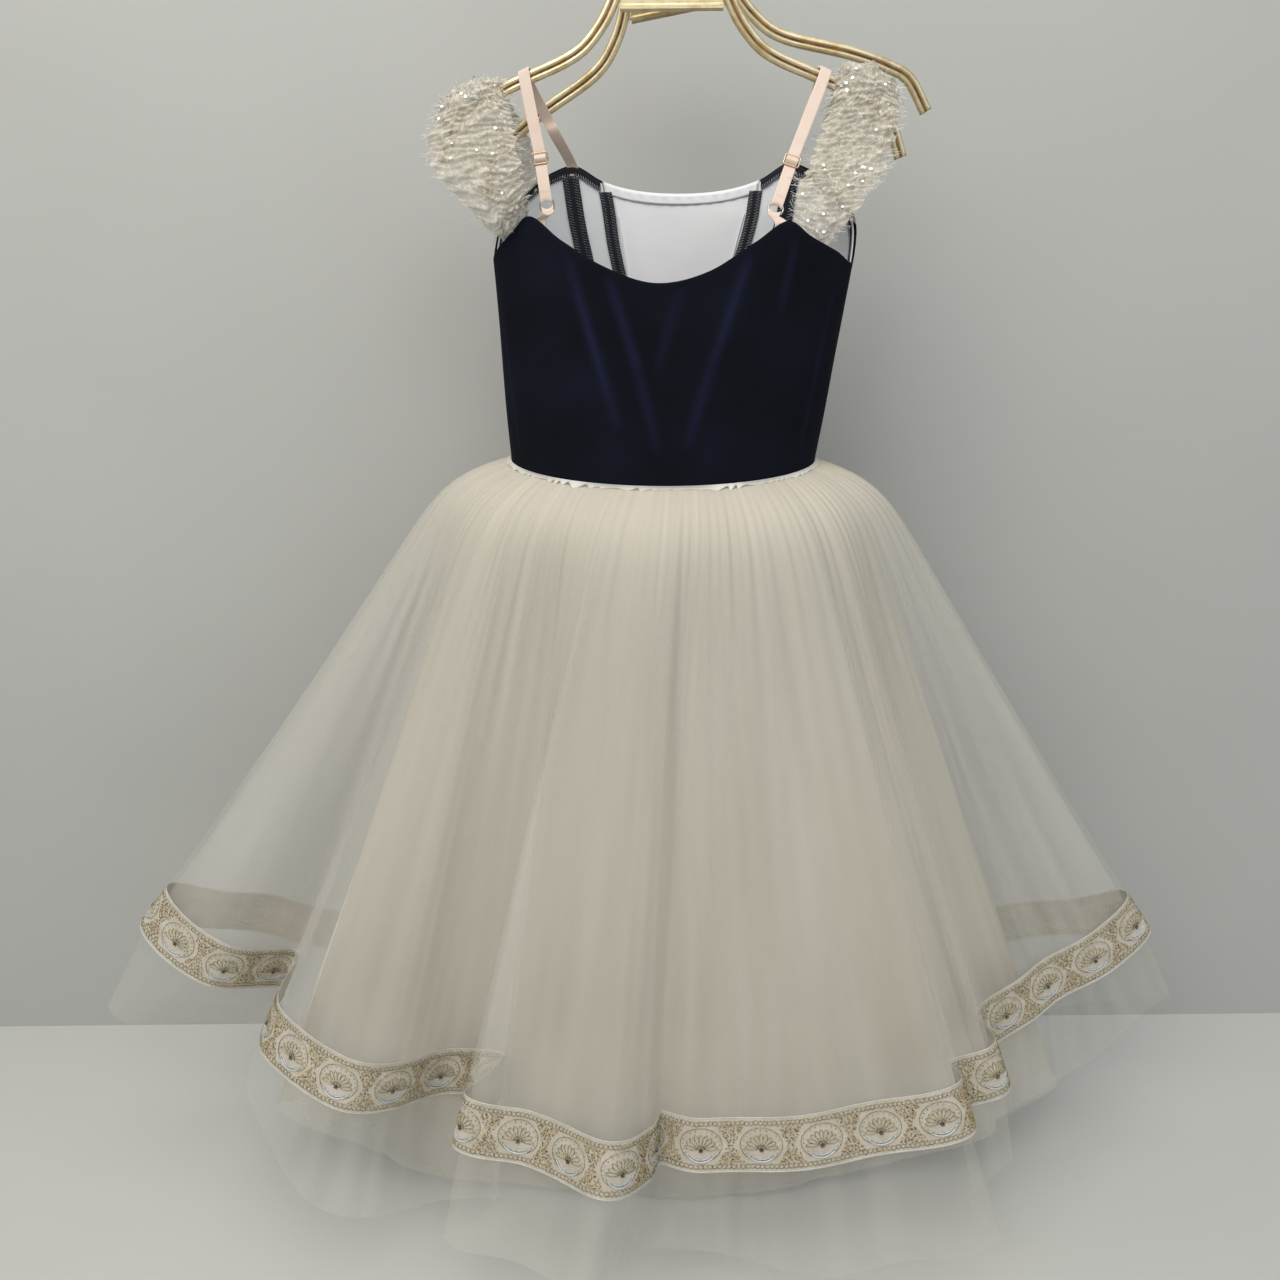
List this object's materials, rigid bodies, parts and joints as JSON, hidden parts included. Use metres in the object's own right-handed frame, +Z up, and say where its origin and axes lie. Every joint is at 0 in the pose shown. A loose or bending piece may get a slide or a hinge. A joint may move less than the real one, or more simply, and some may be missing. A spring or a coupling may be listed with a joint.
{
  "type": "ballet dress",
  "caption": "Dress with a scooped velvet bodice, elastic straps, ruched lace sleeve bands and a wide layered tulle skirt with a beaded border, on a metal hanger.",
  "frame": {"origin": "inner crest of the front hanger's hook, where a rail carries it", "axes": "+Z up; the dress shows its back to -Y; its own left as it faces away is -X"},
  "size_m": [1.0719, 0.3809, 1.1788],
  "materials": {
    "velvet": "matt stretch velvet",
    "white_panel": "matt woven",
    "lining": "matt knit",
    "tulle": "soft net",
    "trim": "beaded net",
    "elastic": "satin elastic",
    "lace": "sequinned lace",
    "gold": "brushed"
  },
  "bodies": {
    "root": {"bodice_back": "velvet", "bodice_side_left": "velvet", "bodice_side_right": "velvet", "bodice_side_front_left": "velvet", "bodice_side_front_right": "velvet", "bodice_front_center": "white_panel", "lining_left": "lining", "lining_right": "lining", "waist_frill": "tulle", "skirt_overlay": "tulle", "skirt_trim": "trim", "skirt_long": "tulle", "skirt_inner": "tulle", "band_left": "lace", "band_right": "lace", "strap_left": "elastic", "strap_right": "elastic", "tab_left": "elastic", "tab_right": "elastic", "ring_left": "gold", "ring_right": "gold", "slider_left": "gold", "slider_right": "gold", "hanger_front_arch": "gold", "hanger_front_plate": "gold", "hanger_front_hook": "gold", "hanger_rear_arch": "gold", "hanger_rear_plate": "gold", "hanger_rear_hook": "gold"}
  },
  "joints": []
}
